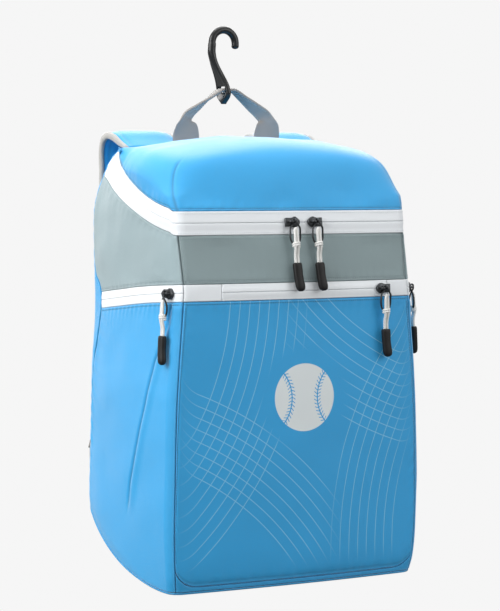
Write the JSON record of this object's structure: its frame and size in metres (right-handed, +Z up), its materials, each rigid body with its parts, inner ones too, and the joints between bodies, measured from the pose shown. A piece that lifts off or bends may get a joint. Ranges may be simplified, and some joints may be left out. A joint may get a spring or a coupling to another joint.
{
  "type": "baseball bat backpack",
  "caption": "Tall zipped sports backpack hanging from a plastic fence hook on its haul handle, with a wide front pocket, side pockets, a grey band, a domed lid and padded straps.",
  "frame": {"origin": "the inner crest of the fence hook, where the bag hangs; the bag's base is 654 mm below it", "axes": "+Z up; -Y towards the front pocket; +Y towards the wearer's back and the shoulder straps; +X to the right of someone who looks at the front"},
  "size_m": [0.3483, 0.3004, 0.6631],
  "materials": {
    "blue_cloth": "light blue coated polyester, fine weave, matt with a slight sheen",
    "grey_cloth": "cool grey polyester, fine weave, matt",
    "white_tape": "white coated zip tape, smooth",
    "grey_webbing": "warm grey woven webbing",
    "white_cord": "white braided cord",
    "black_rubber": "black moulded rubber, satin",
    "black_plastic": "black moulded plastic, semi-gloss",
    "dark_metal": "gunmetal coated zinc, glossy"
  },
  "bodies": {
    "root": {"base_panel": "blue_cloth", "back_panel": "blue_cloth", "side_panel_left": "blue_cloth", "side_panel_right": "blue_cloth", "side_yoke_left": "grey_cloth", "side_yoke_right": "grey_cloth", "side_zip_lower_tape_left": "white_tape", "side_zip_upper_tape_left": "white_tape", "side_zip_lower_tape_right": "white_tape", "side_zip_upper_tape_right": "white_tape", "front_base_strip": "blue_cloth", "front_pocket_panel": "blue_cloth", "front_band": "grey_cloth", "front_zip_tab_left": "white_tape", "front_zip_tab_right": "white_tape", "front_zip_lower_tape": "white_tape", "front_zip_upper_tape": "white_tape", "main_zip_lower_tape": "white_tape", "main_zip_upper_tape": "white_tape", "lid": "blue_cloth", "main_left_slider": "dark_metal", "main_left_ring": "dark_metal", "main_left_cord": "white_cord", "main_left_tip": "black_rubber", "main_right_slider": "dark_metal", "main_right_ring": "dark_metal", "main_right_cord": "white_cord", "main_right_tip": "black_rubber", "front_slider": "dark_metal", "front_ring": "dark_metal", "front_cord": "white_cord", "front_tip": "black_rubber", "side_left_slider": "dark_metal", "side_left_ring": "dark_metal", "side_left_cord": "white_cord", "side_left_tip": "black_rubber", "side_right_slider": "dark_metal", "side_right_ring": "dark_metal", "side_right_cord": "white_cord", "side_right_tip": "black_rubber", "haul_handle": "grey_webbing", "fence_hook": "black_plastic", "strap_pad_left": "blue_cloth", "strap_binding_left": "grey_webbing", "strap_buckle_left": "black_plastic", "strap_webbing_left": "grey_webbing", "strap_tab_left": "grey_webbing", "strap_pad_right": "blue_cloth", "strap_binding_right": "grey_webbing", "strap_buckle_right": "black_plastic", "strap_webbing_right": "grey_webbing", "strap_tab_right": "grey_webbing"}
  },
  "joints": []
}
